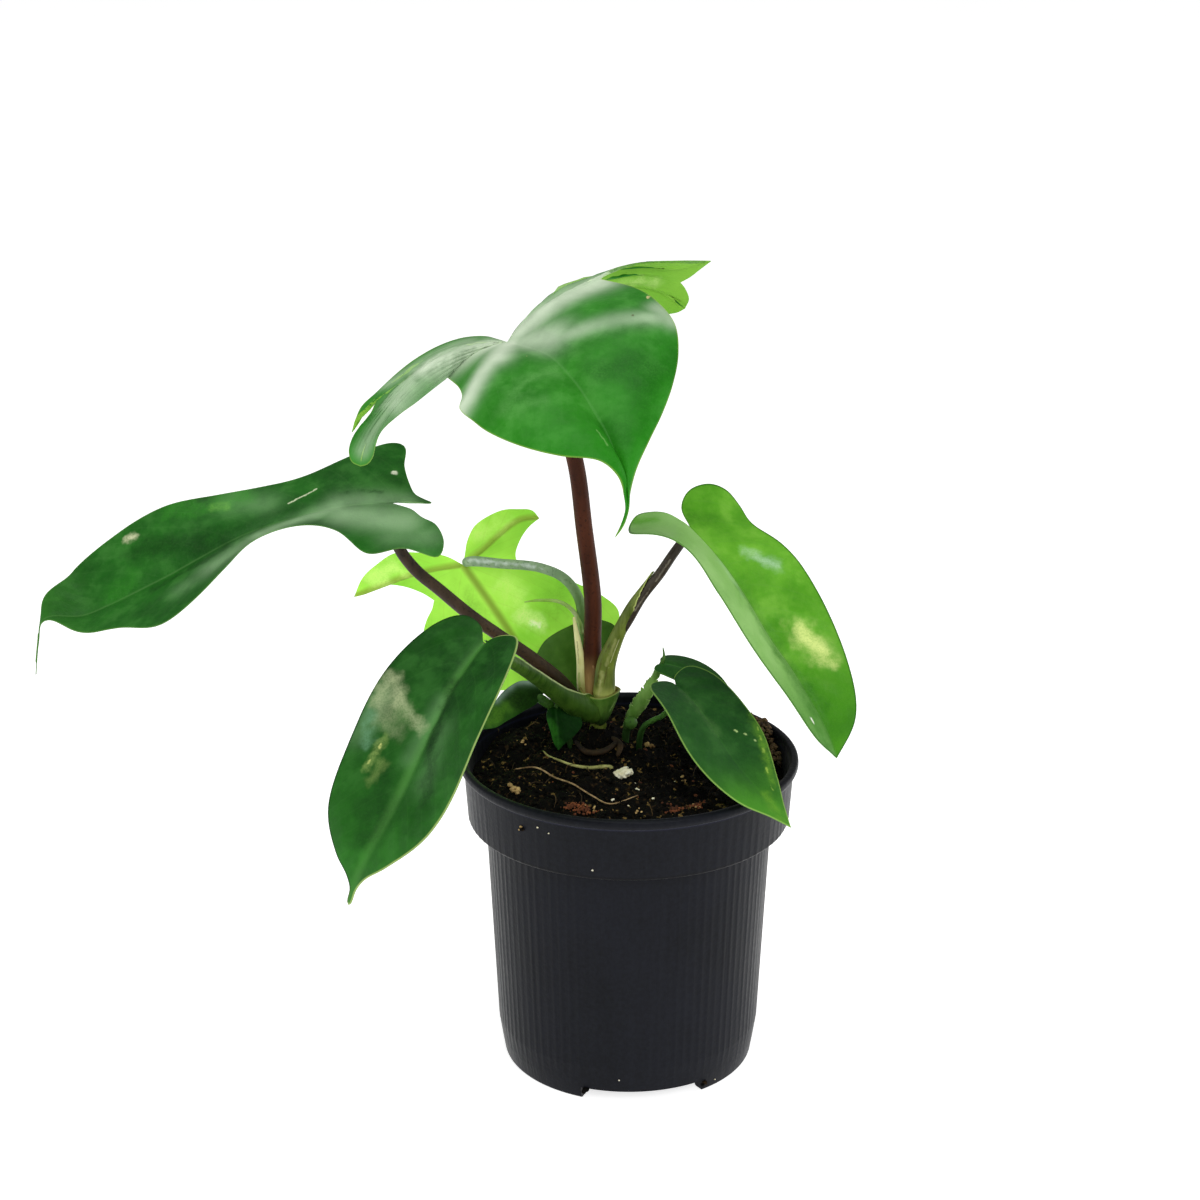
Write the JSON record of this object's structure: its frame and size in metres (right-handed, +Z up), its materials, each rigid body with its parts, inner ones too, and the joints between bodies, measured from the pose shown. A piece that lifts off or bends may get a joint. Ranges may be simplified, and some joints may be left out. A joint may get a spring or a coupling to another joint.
{
  "type": "potted philodendron",
  "caption": "Climbing aroid with lobed, fiddle-shaped leaves on long stalks, standing in a round tapered nursery pot filled with peaty soil.",
  "frame": {"origin": "centre of the pot's underside, on its axis, in the plane that the pot stands on", "axes": "+Z up along the pot's axis; -Y towards the front of the picture; +X to its right"},
  "size_m": [0.2803, 0.167, 0.284],
  "materials": {
    "pot": "satin charcoal, fine upright ribs",
    "soil": "dark crumbly peat",
    "perlite": "chalky white",
    "dry_stem": "dry straw",
    "root": "dry tan fibre",
    "green_stalk": "smooth green rind",
    "red_stalk": "smooth red-brown rind",
    "dark_stalk": "smooth dark brown rind",
    "pale_stalk": "smooth silvery green rind",
    "mid_leaf": "waxy mid green, grey sheen",
    "dark_leaf": "waxy dark green",
    "bright_leaf": "waxy bright green",
    "young_leaf": "soft yellow-green, lets light through"
  },
  "bodies": {
    "root": {"pot": "pot", "soil": "soil", "perlite_lump": "perlite", "dry_stem": "dry_stem", "root": "root", "crown": "green_stalk", "top_leaf_stalk": "red_stalk", "left_leaf_stalk": "dark_stalk", "right_leaf_stalk": "dark_stalk", "back_leaf_stalk": "pale_stalk", "front_right_leaf_stalk": "green_stalk", "top_leaf": "mid_leaf", "left_leaf": "dark_leaf", "low_left_leaf": "dark_leaf", "right_leaf": "bright_leaf", "front_right_leaf": "dark_leaf", "back_leaf": "young_leaf", "inner_leaf": "dark_leaf", "droop_leaf": "dark_leaf", "saddle_leaf": "dark_leaf", "behind_right_leaf": "dark_leaf"}
  },
  "joints": []
}
